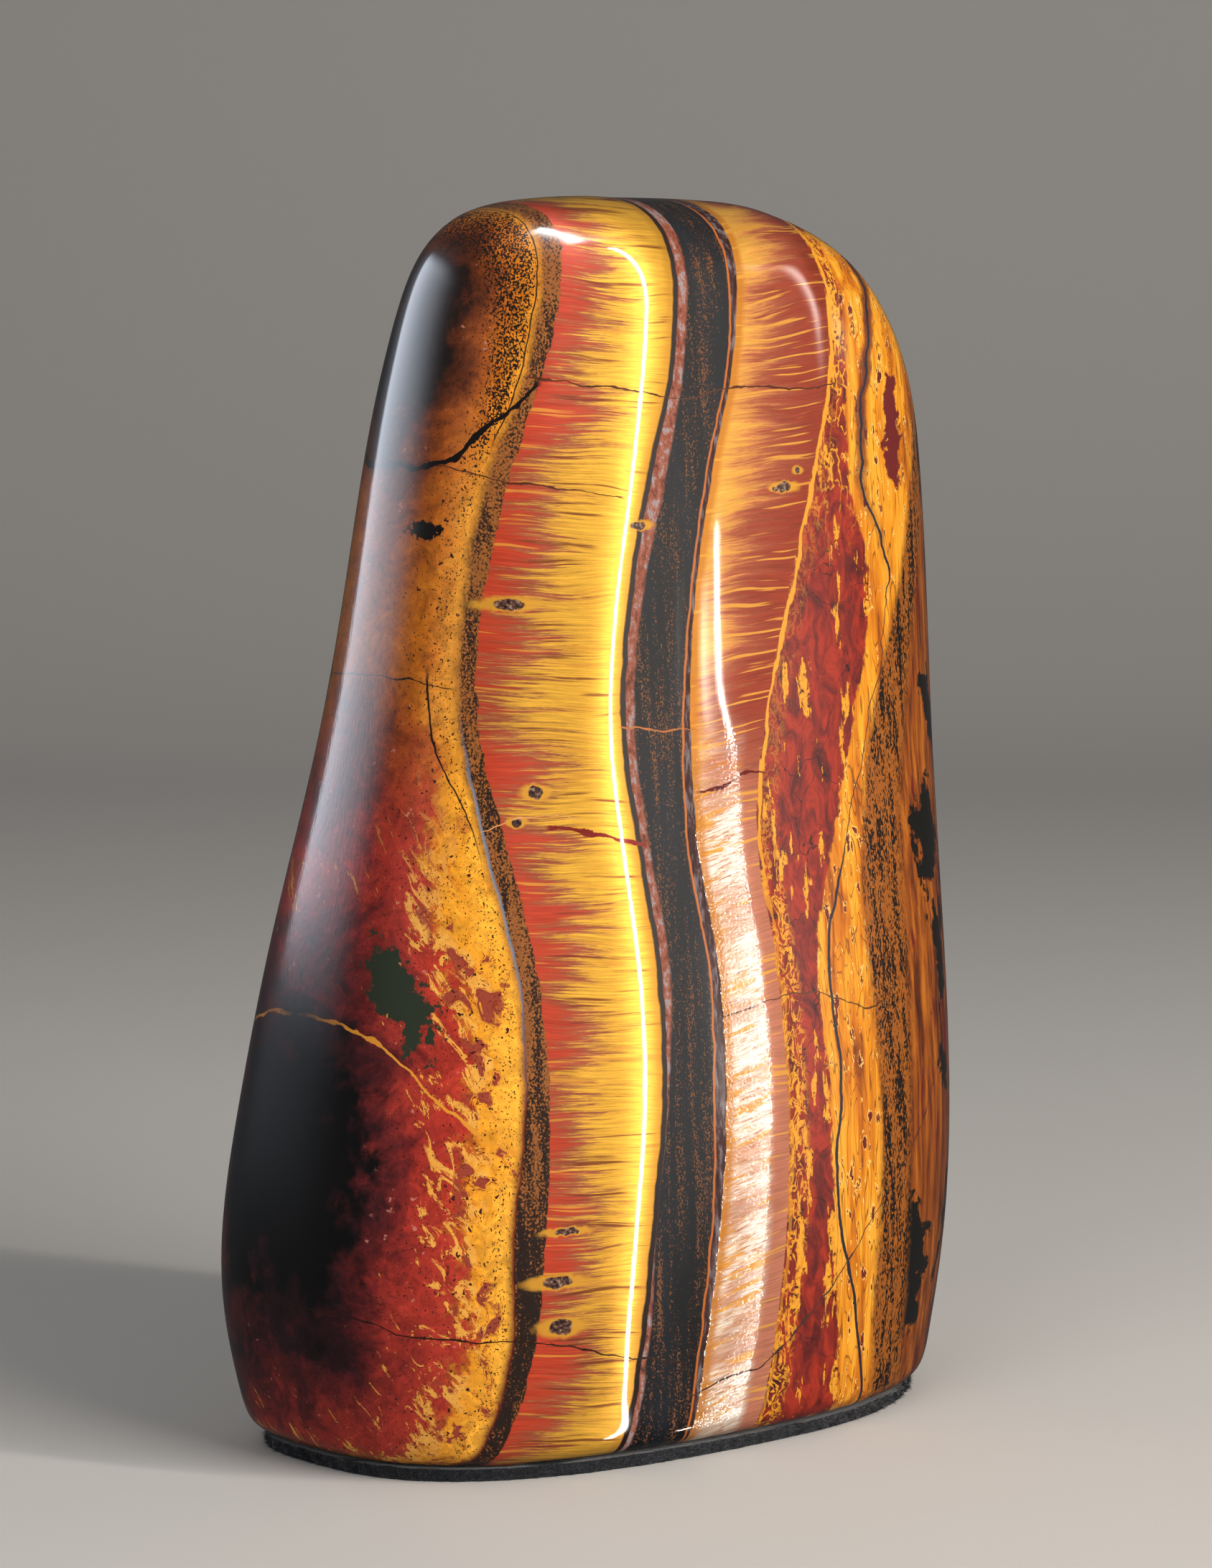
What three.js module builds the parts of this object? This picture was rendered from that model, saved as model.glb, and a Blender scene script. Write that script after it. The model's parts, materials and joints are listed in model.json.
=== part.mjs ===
// A polished freeform slab of tiger's eye ironstone that stands on a black felt pad.
// Millimetres, +Z up. The banded front face looks along -Y and the rounded dark end along -X.
// The origin is under the middle of the stone, in the plane that the felt rests on.
import * as THREE from 'three';
import { mergeVertices } from 'three/addons/utils/BufferGeometryUtils.js';

// Driving dimensions
const STONE_TOP = 309;
const FELT_THICKNESS = 3;
const FELT_OVERHANG = 1.2;
const BASE_EDGE_RADIUS = 6;
const BASE_EDGE_INSET = 5;

// Body lines: how far each side of the stone lies from the middle, at eight heights.
// The left end has a foot that bulges, a waist above it, and a lean in towards the top.
const BODY_HEIGHTS = [3, 40, 85, 130, 175, 220, 265, 310];
const LEFT_END = [-93, -103, -99.5, -91, -81, -73, -65, -52];
const RIGHT_END = [99.5, 103, 102, 99, 97, 95, 92, 88];
const FRONT_FACE = [-53.5, -55, -53.5, -49, -43.5, -41, -38, -33];
const BACK_FACE = [53.5, 54.5, 53, 48.5, 41.5, 36.5, 30, 17.5];

// Plan shape: where the faces stand out most, and how square each corner is (2 is an ellipse)
const PLAN_HEIGHTS = [3, 105, 210, 310];
const FACE_CROWN_X = [17, 17, 13, 7];
const END_CROWN_Y = [6, 3, -2, 0];
const SQUARENESS_FRONT_LEFT = [2.6, 2.35, 2.5, 2.05];
const SQUARENESS_FRONT_RIGHT = [2.1, 2.7, 2.95, 3];
const SQUARENESS_BACK_RIGHT = [2.8, 2.8, 2.8, 2.8];
const SQUARENESS_BACK_LEFT = [3.9, 3.45, 3.2, 3.2];

// Crown: the height at which each side starts to turn over, and how square that shoulder is
const SHOULDER_HEIGHT = { left: 274, right: 230, front: 281, back: 280 };
const SHOULDER_SQUARENESS = { left: 4.6, right: 2.6, front: 2.8, back: 2.3 };
const SUMMIT_SQUARENESS = 2.8;

// Grid over the stone: cells along the length, through the thickness and up the height
const CELLS_LONG = 24;
const CELLS_DEEP = 12;
const CELLS_HIGH = 36;
const CELLS_IN_SHOULDER = 6;
const WALL_SPACING_POWER = 1.35;

// A smooth line through values at given heights: a natural cubic spline
function smoothLine(heights, values) {
  const last = heights.length - 1;
  const bend = new Array(last + 1).fill(0);
  const ratio = new Array(last + 1).fill(0);
  for (let i = 1; i < last; i++) {
    const below = heights[i] - heights[i - 1];
    const above = heights[i + 1] - heights[i];
    const turn = (values[i + 1] - values[i]) / above - (values[i] - values[i - 1]) / below;
    const pivot = 2 * (below + above) - below * ratio[i - 1];
    ratio[i] = above / pivot;
    bend[i] = (6 * turn - below * bend[i - 1]) / pivot;
  }
  for (let i = last - 1; i > 0; i--) bend[i] -= ratio[i] * bend[i + 1];
  return (height) => {
    const z = Math.min(Math.max(height, heights[0]), heights[last]);
    let i = 0;
    while (i < last - 1 && z > heights[i + 1]) i++;
    const span = heights[i + 1] - heights[i];
    const a = (heights[i + 1] - z) / span;
    const b = 1 - a;
    const curve = ((a ** 3 - a) * bend[i] + (b ** 3 - b) * bend[i + 1]) * span ** 2 / 6;
    return a * values[i] + b * values[i + 1] + curve;
  };
}

const leftEnd = smoothLine(BODY_HEIGHTS, LEFT_END);
const rightEnd = smoothLine(BODY_HEIGHTS, RIGHT_END);
const frontFace = smoothLine(BODY_HEIGHTS, FRONT_FACE);
const backFace = smoothLine(BODY_HEIGHTS, BACK_FACE);
const faceCrownX = smoothLine(PLAN_HEIGHTS, FACE_CROWN_X);
const endCrownY = smoothLine(PLAN_HEIGHTS, END_CROWN_Y);
const cornerSquareness = {
  frontLeft: smoothLine(PLAN_HEIGHTS, SQUARENESS_FRONT_LEFT),
  frontRight: smoothLine(PLAN_HEIGHTS, SQUARENESS_FRONT_RIGHT),
  backRight: smoothLine(PLAN_HEIGHTS, SQUARENESS_BACK_RIGHT),
  backLeft: smoothLine(PLAN_HEIGHTS, SQUARENESS_BACK_LEFT),
};

// How far the rounded edge at the foot draws the outline in at a height
function footInset(z) {
  const rise = Math.min((z - FELT_THICKNESS) / BASE_EDGE_RADIUS, 1);
  return BASE_EDGE_INSET * (1 - Math.sqrt(1 - (1 - rise) ** 2));
}

// A point in plan: the direction (alongX, acrossY) lies on the unit outline, reach runs 0 to 1
function planPoint(alongX, acrossY, reach, z) {
  const x0 = faceCrownX(z);
  const y0 = endCrownY(z);
  const halfLength = (alongX < 0 ? x0 - leftEnd(z) : rightEnd(z) - x0) - footInset(z);
  const halfDepth = (acrossY < 0 ? y0 - frontFace(z) : backFace(z) - y0) - footInset(z);
  return new THREE.Vector3(x0 + alongX * reach * halfLength, y0 + acrossY * reach * halfDepth, z);
}

// Turns a point (u, v) of the square into its direction on the unit outline and its radius there
function outlineDirection(u, v, heightForCorner) {
  const side = (v < 0 ? 'front' : 'back') + (u < 0 ? 'Left' : 'Right');
  const power = cornerSquareness[side](heightForCorner);
  const radius = (Math.abs(u) ** power + Math.abs(v) ** power) ** (1 / power);
  if (radius < 1e-9) return { alongX: 0, acrossY: 0, radius: 0, endShare: 0 };
  const alongX = u / radius;
  const acrossY = v / radius;
  return { alongX, acrossY, radius, endShare: Math.abs(alongX) ** power };
}

// Mixes a value of the shoulder between the end and the face that a direction lies between
function shoulderMix(values, u, v, endShare) {
  const end = u < 0 ? values.left : values.right;
  const face = v < 0 ? values.front : values.back;
  return end * endShare + face * (1 - endShare);
}

// Moves a point of the cube (u, v, w, each -1 to 1) to its place on the stone
function stonePoint(u, v, w) {
  const wallCells = CELLS_HIGH - CELLS_IN_SHOULDER;
  const row = (w + 1) / 2 * CELLS_HIGH;
  const climb = Math.min(row / wallCells, 1) ** WALL_SPACING_POWER;
  const turnOver = Math.max(row - wallCells, 0) / CELLS_IN_SHOULDER;
  const cornerHeight = FELT_THICKNESS + climb * (0.9 * STONE_TOP - FELT_THICKNESS);
  const { alongX, acrossY, radius, endShare } = outlineDirection(u, v, cornerHeight);
  const shoulder = shoulderMix(SHOULDER_HEIGHT, u, v, endShare);

  if (turnOver <= 0) {
    const reach = row > 0 ? 1 : Math.max(Math.abs(u), Math.abs(v));
    return planPoint(alongX, acrossY, reach, FELT_THICKNESS + climb * (shoulder - FELT_THICKNESS));
  }
  const power = radius > 0 ? shoulderMix(SHOULDER_SQUARENESS, u, v, endShare) : SUMMIT_SQUARENESS;
  const shrink = (radius ** power + turnOver ** power) ** (-1 / power);
  const height = shoulder + (STONE_TOP - shoulder) * shrink * turnOver;
  return planPoint(alongX, acrossY, shrink * radius, height);
}

// The stone: a box grid whose every point moves to its place on the freeform
function stoneGeometry() {
  const box = new THREE.BoxGeometry(2, 2, 2, CELLS_LONG, CELLS_DEEP, CELLS_HIGH);
  box.deleteAttribute('normal');
  box.deleteAttribute('uv');
  const geometry = mergeVertices(box, 1e-5);
  const position = geometry.attributes.position;
  for (let i = 0; i < position.count; i++) {
    const place = stonePoint(position.getX(i), position.getY(i), position.getZ(i));
    position.setXYZ(i, place.x, place.y, place.z);
  }
  geometry.computeVertexNormals();
  return geometry;
}

// The felt: the stone's foot outline, let out a little, cut from one sheet
function feltGeometry() {
  const outline = [];
  const steps = 72;
  for (let i = 0; i < steps; i++) {
    const angle = i / steps * 2 * Math.PI;
    const { alongX, acrossY } = outlineDirection(Math.cos(angle), Math.sin(angle), FELT_THICKNESS);
    const foot = planPoint(alongX, acrossY, 1, FELT_THICKNESS);
    const outward = new THREE.Vector2(alongX, acrossY).normalize().multiplyScalar(FELT_OVERHANG);
    outline.push(new THREE.Vector2(foot.x + outward.x, foot.y + outward.y));
  }
  return new THREE.ExtrudeGeometry(new THREE.Shape(outline), { depth: FELT_THICKNESS, bevelEnabled: false });
}

function namedMesh(name, geometry, material) {
  const mesh = new THREE.Mesh(geometry, material);
  mesh.name = name;
  return mesh;
}

const polishedTigersEye = new THREE.MeshStandardMaterial({ color: 0x9a5218, roughness: 0.12, metalness: 0 });
const blackFelt = new THREE.MeshStandardMaterial({ color: 0x15171b, roughness: 0.95, metalness: 0 });

const stone = namedMesh('stone', stoneGeometry(), polishedTigersEye);
const feltPad = namedMesh('felt_pad', feltGeometry(), blackFelt);

// Centres the footprint of the whole object on the origin
const slab = new THREE.Group();
slab.add(stone, feltPad);
const middle = new THREE.Box3().setFromObject(slab).getCenter(new THREE.Vector3());
for (const mesh of [stone, feltPad]) mesh.position.set(-middle.x, -middle.y, 0);

export default slab;
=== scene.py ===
"""A polished freeform slab of tiger's eye ironstone on its black felt pad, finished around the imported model.

Metres, +Z up. The banded face looks along -Y and the rounded dark end along -X.
Patterns are worked out in millimetres.
"""
import functools
import json
import math

import bpy
import numpy as np
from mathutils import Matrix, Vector

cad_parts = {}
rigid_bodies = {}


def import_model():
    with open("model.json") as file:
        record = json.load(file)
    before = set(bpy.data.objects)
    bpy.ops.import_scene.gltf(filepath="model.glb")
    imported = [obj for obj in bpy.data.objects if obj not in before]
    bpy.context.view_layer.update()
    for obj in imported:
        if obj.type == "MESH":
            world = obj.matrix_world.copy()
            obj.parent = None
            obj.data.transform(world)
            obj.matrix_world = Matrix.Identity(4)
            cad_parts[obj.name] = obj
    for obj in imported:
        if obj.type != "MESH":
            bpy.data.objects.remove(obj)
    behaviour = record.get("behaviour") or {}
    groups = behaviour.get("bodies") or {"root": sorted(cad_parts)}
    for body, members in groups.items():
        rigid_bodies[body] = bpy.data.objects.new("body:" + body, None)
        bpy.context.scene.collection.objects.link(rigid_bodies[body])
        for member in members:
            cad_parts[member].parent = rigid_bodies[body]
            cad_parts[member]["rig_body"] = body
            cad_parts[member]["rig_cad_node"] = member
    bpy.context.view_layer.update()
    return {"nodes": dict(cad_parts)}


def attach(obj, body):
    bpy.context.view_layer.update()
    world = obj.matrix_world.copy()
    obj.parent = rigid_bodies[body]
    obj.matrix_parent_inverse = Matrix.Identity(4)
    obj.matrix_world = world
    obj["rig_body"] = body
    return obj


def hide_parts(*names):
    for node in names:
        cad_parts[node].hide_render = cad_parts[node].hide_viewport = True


MM = 0.001
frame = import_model()

# Camera: the photograph's viewing angle, found from the outline of the stone and the line of its foot
IMAGE_HEIGHT = 2184
FOCAL_PIXELS = 7006
SENSOR = 36
CAMERA_PLACE = (-0.8494, -0.9308, 0.2914)
CAMERA_TURN = 42.36
CAMERA_DIP = 5.88

# Seams between the stone's layers: how far each lies along X, in mm, at these heights. The layers
# stand across the slab, so a seam's place depends on height alone, and all of them share one fold.
SEAM_HEIGHTS = (3, 30, 60, 90, 120, 150, 180, 210, 240, 270, 300)
SEAMS = {
    "end_to_speckle": (-76, -70, -69, -64.5, -63.5, -67.5, -70, -67, -60.5, -48.5, -41),
    "speckle_to_gold": (-71, -64, -60.5, -57.5, -58, -62, -66, -63.5, -56, -44.5, -36),
    "gold_to_step": (-40, -36.5, -32.5, -28, -27, -29.5, -32, -29, -22, -12.5, -9),
    "step_to_hematite": (-37, -33.5, -31, -26, -23, -25.7, -28, -24.5, -16, -8, -4),
    "hematite_to_rim": (-21, -18, -14, -12, -11, -14.5, -13.5, -10, -3.7, 6, 9),
    "rim_to_copper": (-19.5, -15.5, -11, -8, -7.7, -11, -11, -8.3, -1.5, 8, 13),
    "copper_to_jasper": (2, 7, 11, 12, 11, 8, 14, 23, 33, 41.5, 41),
    "jasper_to_ochre": (30, 29, 27, 27, 25.5, 35, 46, 53.5, 47, 48, 47),
    "ochre_to_pepper": (45, 43, 45.5, 46, 44, 46, 53.5, 66, 76, 84, 88),
    "pepper_to_brown": (58, 58, 58, 60, 61, 62, 68, 76, 86, 94, 98),
    "blue_vein": (41, 36, 28.5, 31, 29.5, 40, 52.5, 60, 53, 57, 62),
}
SEAM_REACH = 110
TOP_HEIGHT = 310

# Low ridges left by polishing, where the light gathers in a line: how far each crest lies along X, in mm,
# at the same heights
GOLD_RIDGE = (-41.5, -41, -37.5, -33, -32, -34.5, -37, -33.5, -26, -19, -15)
COPPER_RIDGE = (-9, 0, 2.5, 8, 6.5, 4, 4, 6, 9, 12, 16)
EDGE_RIDGE = (-5, -5, -5, -5, -5, -6, -5.5, -4.5, -1, 6, 10)
SHOULDER_RIDGE = (36, 36, 36, 36, 36, 36, 36, 36, 36, 37, 34)

# Healed cracks seen on the banded face: half width in mm, colour and points (X, height) in mm
CRACKS = {
    "upper hairline": (0.14, "#4a2410",
        ((-49, 265), (-44, 264), (-20, 261), (-8, 259), (5, 262), (30, 261), (42, 262))),
    "low hairline": (0.12, "#4a2410", ((-70, 245), (-62, 242), (-56, 240), (-48, 239), (-30, 236))),
    "waist hairline": (0.12, "#120c0c", ((-88, 193), (-82, 193.5), (-76, 193), (-71, 191))),
    "hematite hairline": (0.1, "#a8622a", ((-31, 180.5), (-20, 179.5), (-10, 179))),
    "copper crack": (0.3, "#5e1710", ((-9, 163.5), (-1, 165), (5, 167), (12, 167))),
    "middle hairline": (0.13, "#4a2a12",
        ((-8, 108.5), (7, 111), (14, 112), (27, 111), (36, 108), (46, 106), (56, 112))),
    "slanting crack": (0.22, "#3a2622",
        ((-20, 17), (-6, 20), (5, 22), (15, 29), (29, 40), (44, 55), (62, 71), (76, 90))),
    "lower crack": (0.16, "#2a150c",
        ((-104, 43), (-97, 41), (-91, 38), (-79, 36), (-65, 35), (-36, 28), (-22, 25))),
    "pale hairline": (0.06, "#d89a60", ((-66, 158), (-60, 160), (-53, 160.5), (-45, 159))),
    "red lens": (0.5, "#7a2018", ((-52, 157.5), (-46, 156.5), (-39, 155), (-33, 153.5), (-28, 152))),
    "end vein": (0.5, "#c98428",
        ((-92.6, 110), (-90.5, 107.5), (-88, 104), (-83, 95.5), (-78, 89.5), (-73, 85), (-67, 81))),
    "knob crack": (0.6, "#0f0a09",
        ((-76, 243.5), (-67, 244), (-61, 250), (-57, 254.5), (-52, 258.5), (-48, 262.5))),
}

# Small inclusions in the fibre bands: X, height, half length, half height in mm
INCLUSIONS = (
    (-58, 211, 3.6, 1.6), (-25, 229, 2.4, 1.1), (-55, 166, 1.8, 1.8), (-60, 159, 1.2, 1.2),
    (-57, 38, 3.2, 2.2), (-58, 49, 4.0, 1.6), (-55, 61, 3.4, 0.9),
    (23, 237, 2.6, 1.3), (28, 241, 1.0, 1.0), (20, 236.5, 1.2, 0.7),
)

# Quartz bends light by about this much, and so does the polished skin over it
QUARTZ_INDEX = 1.55
# The ridges stand proud of the solid, so the stone is drawn in by these shares to stay inside its box
DRAWN_IN = (0.998, 0.992, 0.998)
# The middle of the stone, in metres, where every light points
STONE_MIDDLE = Vector((0, 0, 0.16))
# How far the felt reaches from its middle along X and Y, in mm
FELT_REACH = (92, 50)
# The loose fibres that stand out of its edge: how many, and in mm their lengths, half width and depth
FIBRE_COUNT = 9000
FIBRE_LENGTHS = (0.9, 2.4)
FIBRE_HALF_WIDTH = 0.07
FIBRE_DEPTH = 0.13
# The floor, in metres: its side, where it starts to curve up behind the stone, and how tight the curve is
FLOOR_SIDE = 10.0
FLOOR_BEND = 1.6
BEND_RADIUS = 1.2

MATH = "ShaderNodeMath"
VECTOR = "ShaderNodeVectorMath"
RANGE = "ShaderNodeMapRange"
MIX = "ShaderNodeMix"
RAMP = "ShaderNodeValToRGB"
NOISE = "ShaderNodeTexNoise"
CELLS = "ShaderNodeTexVoronoi"
SOFT = {"interpolation_type": "SMOOTHSTEP"}
TIMES = {"operation": "MULTIPLY"}
COLOUR = {"out": 2, "data_type": "RGBA"}


def linear(hex_colour, alpha=1.0):
    """The linear colour of an sRGB hex value."""
    parts = [int(hex_colour[i : i + 2], 16) / 255 for i in (1, 3, 5)]
    return (*(c / 12.92 if c <= 0.04045 else ((c + 0.055) / 1.055) ** 2.4 for c in parts), alpha)


def add_node(tree, kind, inputs=(), out=0, stops=None, curve=None, **settings):
    """Adds one node, with its settings, links and values, and returns one of its outputs."""
    node = tree.nodes.new(kind)
    for name, value in settings.items():
        setattr(node, name, value)
    for key, value in inputs.items() if isinstance(inputs, dict) else enumerate(inputs):
        if isinstance(value, bpy.types.NodeSocket):
            tree.links.new(value, node.inputs[key])
        elif isinstance(value, str):
            node.inputs[key].default_value = linear(value)
        else:
            node.inputs[key].default_value = value
    if stops:
        ramp = node.color_ramp.elements
        while len(ramp) < len(stops):
            ramp.new(1.0)
        for element, (place, colour) in zip(ramp, stops):
            element.position = place
            element.color = linear(colour)
    if curve:
        points = node.mapping.curves[0].points
        while len(points) < len(curve):
            points.new(0.5, 0.5)
        for point, place in zip(points, curve):
            point.location = place
        node.mapping.update()
    return node.outputs[out]


def cloud(add, place, size_mm, seed, detail=2.0, rough=0.5, swirl=0.0):
    """A soft random pattern whose grains measure size_mm along X, Y and Z."""
    sizes = size_mm if isinstance(size_mm, tuple) else (size_mm,) * 3
    shift = (seed * 7.3, seed * 3.1, seed * 5.7)
    scale = tuple(1 / size for size in sizes)
    moved = add("ShaderNodeMapping", {"Vector": place, "Location": shift, "Scale": scale})
    grain = {"Scale": 1.0, "Detail": detail, "Roughness": rough, "Distortion": swirl}
    return add(NOISE, {"Vector": moved, **grain})


def lay_over(add, below, above, mask):
    """One finish where the mask is 0 and another where it is 1: colour, roughness, fibre sheen and relief."""
    mixed = {"colour": add(MIX, {0: mask, 6: below["colour"], 7: above["colour"]}, **COLOUR)}
    for part in ("rough", "sheen", "relief"):
        mixed[part] = add(MIX, {0: mask, 2: below[part], 3: above[part]})
    return mixed


def finish(colour, rough=0.4, sheen=0.0, relief=0.5):
    return {"colour": colour, "rough": rough, "sheen": sheen, "relief": relief}


def seam_distance(add, name, x, height):
    """Millimetres along X from a seam: positive on its right."""
    points = [(h / TOP_HEIGHT, 0.5 + place / (2 * SEAM_REACH)) for h, place in zip(SEAM_HEIGHTS, SEAMS[name])]
    curve = add("ShaderNodeFloatCurve", [1.0, height], curve=points)
    place = add(MATH, [curve, 2.0 * SEAM_REACH, -1.0 * SEAM_REACH], operation="MULTIPLY_ADD")
    return add(MATH, [x, place], operation="SUBTRACT")


def line_mask(add, distance, half_width, softness=0.5):
    """1 within half_width of where the distance is 0, falling to 0 over the softness."""
    away = add(MATH, [distance], operation="ABSOLUTE")
    return add(RANGE, [away, half_width, half_width + softness, 1.0, 0.0], **SOFT)


def within(add, value, low, high, softness):
    """1 between low and high, falling to 0 over the softness on both sides."""
    rise = add(RANGE, [value, low - softness, low], **SOFT)
    fall = add(RANGE, [value, high, high + softness, 1.0, 0.0], **SOFT)
    return add(MATH, [rise, fall], **TIMES)


def tinted(add, colour, shade, dark, light):
    """A colour made darker and lighter by a pattern around 0.5."""
    shade = add(RANGE, [shade, 0.3, 0.7, dark, light])
    grey = add("ShaderNodeCombineXYZ", [shade, shade, shade])
    return add(MIX, {0: 1.0, 6: colour, 7: grey}, blend_type="MULTIPLY", **COLOUR)


def warped(add, place, seed, size_mm, by_mm):
    """A place shifted by a soft random amount, so that straight lines come out wavy."""
    shift = add("ShaderNodeMapping", {"Vector": place, "Location": (seed * 3.0, seed * 5.0, seed * 7.0)})
    shift = add(NOISE, {"Vector": shift, "Scale": 1 / size_mm, "Detail": 3.0}, out="Color")
    shift = add(VECTOR, [shift, (0.5, 0.5, 0.5)], operation="SUBTRACT")
    shift = add(VECTOR, {0: shift, "Scale": 2.0 * by_mm}, operation="SCALE")
    return add(VECTOR, [shift, place], operation="ADD")


def near(add, place, centre, radii, ragged=0.0, seed=0, size_mm=6.0):
    """How far a place is from a blob's centre, in blob radii: under 1 inside it."""
    away = add(VECTOR, [place, centre], operation="SUBTRACT")
    away = add(VECTOR, [away, tuple(1 / r for r in radii)], **TIMES)
    away = add(VECTOR, [away], out="Value", operation="LENGTH")
    if not ragged:
        return away
    rough_edge = cloud(add, place, size_mm, seed, detail=5.0, rough=0.65)
    rough_edge = add(MATH, [rough_edge, 0.5], operation="SUBTRACT")
    return add(MATH, [rough_edge, 2.0 * ragged, away], operation="MULTIPLY_ADD")


def fibre_threads(add, place, tilt, seed):
    """Silky quartz fibres along X, tilted a little: fine threads, streaks, broad clouds and thin lenses.

    Real threads are about a hundredth of a millimetre thick. The finest here are 0.4 mm, so that they show.
    """
    fibres = add("ShaderNodeMapping", {"Vector": place, "Rotation": (0.0, math.radians(tilt), 0.0)})
    bent = cloud(add, fibres, (30.0, 60.0, 18.0), seed + 5, detail=1.0)
    bent = add("ShaderNodeCombineXYZ", [0.0, 0.0, add(MATH, [bent, 5.0], **TIMES)])
    fibres = add(VECTOR, [fibres, bent], operation="ADD")
    fine = cloud(add, fibres, (16.0, 12.0, 0.42), seed, detail=4.0, rough=0.75)
    streaks = cloud(add, fibres, (46.0, 38.0, 1.9), seed + 1, detail=6.0, rough=0.85)
    broad = cloud(add, fibres, (120.0, 90.0, 15.0), seed + 2, detail=1.0)
    lenses = cloud(add, fibres, (34.0, 26.0, 1.1), seed + 3, detail=3.0)
    return fine, streaks, broad, lenses


def frayed_share(add, x_left, x_right, *frays):
    """How far across a band a place is, 0 to 1, and the same frayed by patterns, each with its reach."""
    across = add(MATH, [x_left, add(MATH, [x_left, x_right], operation="SUBTRACT")], operation="DIVIDE")
    frayed = across
    for pattern, reach in frays:
        frayed = add(MATH, [pattern, reach, frayed], operation="MULTIPLY_ADD")
    return across, frayed


def gold_band(add, place, x_left, x_right):
    """First fibre band: brick red at its left, breaking in long streaks into gold at its right."""
    fine, streaks, broad, lenses = fibre_threads(add, place, -3.5, 21)
    across, frayed = frayed_share(add, x_left, x_right, (streaks, 2.0), (broad, 1.1), (fine, 1.1))
    gold = add(RANGE, [frayed, 2.05, 2.85], **SOFT)
    tone = add(RAMP, [gold], stops=[
        (0.0, "#b23c24"), (0.16, "#a4452c"), (0.33, "#96503a"),
        (0.5, "#a8703a"), (0.68, "#cf9634"), (1.0, "#e6ad3c"),
    ])
    tone = tinted(add, tone, fine, 0.66, 1.26)
    maroon = add(RANGE, [across, 0.02, 0.25, 0.0, 0.85])
    maroon = add(MATH, [add(RANGE, [lenses, 0.59, 0.68], **SOFT), maroon], **TIMES)
    tone = add(MIX, {0: maroon, 6: tone, 7: "#70301c"}, **COLOUR)
    gilt = add(RANGE, [lenses, 0.4, 0.34, 0.0, 0.7], **SOFT)
    tone = add(MIX, {0: gilt, 6: tone, 7: "#cf8f34"}, **COLOUR)
    edge = add(RANGE, [x_right, -3.5, -0.5, 0.0, 0.75], **SOFT)
    tone = add(MIX, {0: edge, 6: tone, 7: "#c48a2c"}, **COLOUR)
    return finish(tone, 0.34, add(RANGE, [gold, 0.0, 1.0, 0.15, 0.5]), fine)


def copper_band(add, place, z, x_left, x_right):
    """Second fibre band: gold and copper threads above, pale and sugary below with its near-white partly a
    painted sheen, brown along its right side.
    """
    fine, streaks, broad, lenses = fibre_threads(add, place, 5.5, 41)
    across, frayed = frayed_share(add, x_left, x_right, (streaks, 1.8), (broad, 1.0), (fine, 1.0))
    copper = add(RANGE, [frayed, 1.85, 2.85], **SOFT)
    tone = add(RAMP, [copper], stops=[
        (0.0, "#dea446"), (0.22, "#c98546"), (0.42, "#ab6040"), (0.64, "#964a34"), (1.0, "#8e3824"),
    ])
    slope = add("ShaderNodeMapping", {"Vector": place, "Rotation": (0.0, math.radians(14.0), 0.0)})
    grains = cloud(add, slope, (5.0, 4.0, 0.55), 47, detail=4.0, rough=0.72)
    # Painted sheen: the pale lower part is partly pale quartz and partly painted light, its near-white grains
    # standing in for the glow spread over the band
    low = add(RANGE, [z, 150.0, 185.0, 1.0, 0.0], **SOFT)
    middle = add(RANGE, [across, 0.62, 0.8, 1.0, 0.0], **SOFT)
    inside = add(RANGE, [x_left, -0.3, 0.3])
    pale = add(MATH, [low, add(MATH, [middle, inside], **TIMES)], **TIMES)
    sugar_and_sheen = add(RAMP, [grains], stops=[(0.32, "#9c6850"), (0.42, "#d8a888"), (0.54, "#faf2e6")])
    bars = cloud(add, slope, (30.0, 26.0, 9.0), 48, detail=3.0, rough=0.6)
    sugar_and_sheen = add(MIX, {0: add(RANGE, [bars, 0.46, 0.62, 0.0, 0.75], **SOFT), 6: sugar_and_sheen, 7: "#c58a6a"}, **COLOUR)
    slivers = cloud(add, slope, (16.0, 12.0, 1.7), 49, detail=2.0)
    sugar_and_sheen = add(MIX, {0: add(RANGE, [slivers, 0.6, 0.64], **SOFT), 6: sugar_and_sheen, 7: "#e3a24c"}, **COLOUR)
    sugar_and_sheen = add(MIX, {0: add(RANGE, [streaks, 0.56, 0.66], **SOFT), 6: sugar_and_sheen, 7: "#dfa555"}, **COLOUR)
    rosy = add(MATH, [low, add(RANGE, [across, 0.62, 0.8, 0.0, 0.75], **SOFT)], **TIMES)
    tone = add(MIX, {0: rosy, 6: tone, 7: "#c07e64"}, **COLOUR)
    # The pale grains and their painted sheen are laid over the lower band here
    tone = add(MIX, {0: add(MATH, [pale, 0.85], **TIMES), 6: tone, 7: sugar_and_sheen}, **COLOUR)
    tone = tinted(add, tone, fine, 0.66, 1.26)
    seam = add(RANGE, [x_left, 1.2, 3.6, 0.85, 0.0], **SOFT)
    tone = add(MIX, {0: seam, 6: tone, 7: "#b9721e"}, **COLOUR)
    threads = add(RANGE, [pale, 0.0, 1.0, 0.85, 0.3])
    threads = add(MATH, [add(RANGE, [lenses, 0.59, 0.64], **SOFT), threads], **TIMES)
    tone = add(MIX, {0: threads, 6: tone, 7: "#d79a3c"}, **COLOUR)
    relief = add(MIX, {0: pale, 2: fine, 3: grains})
    return finish(tone, 0.36, add(RANGE, [pale, 0.0, 1.0, 0.36, 0.5]), relief), pale


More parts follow.
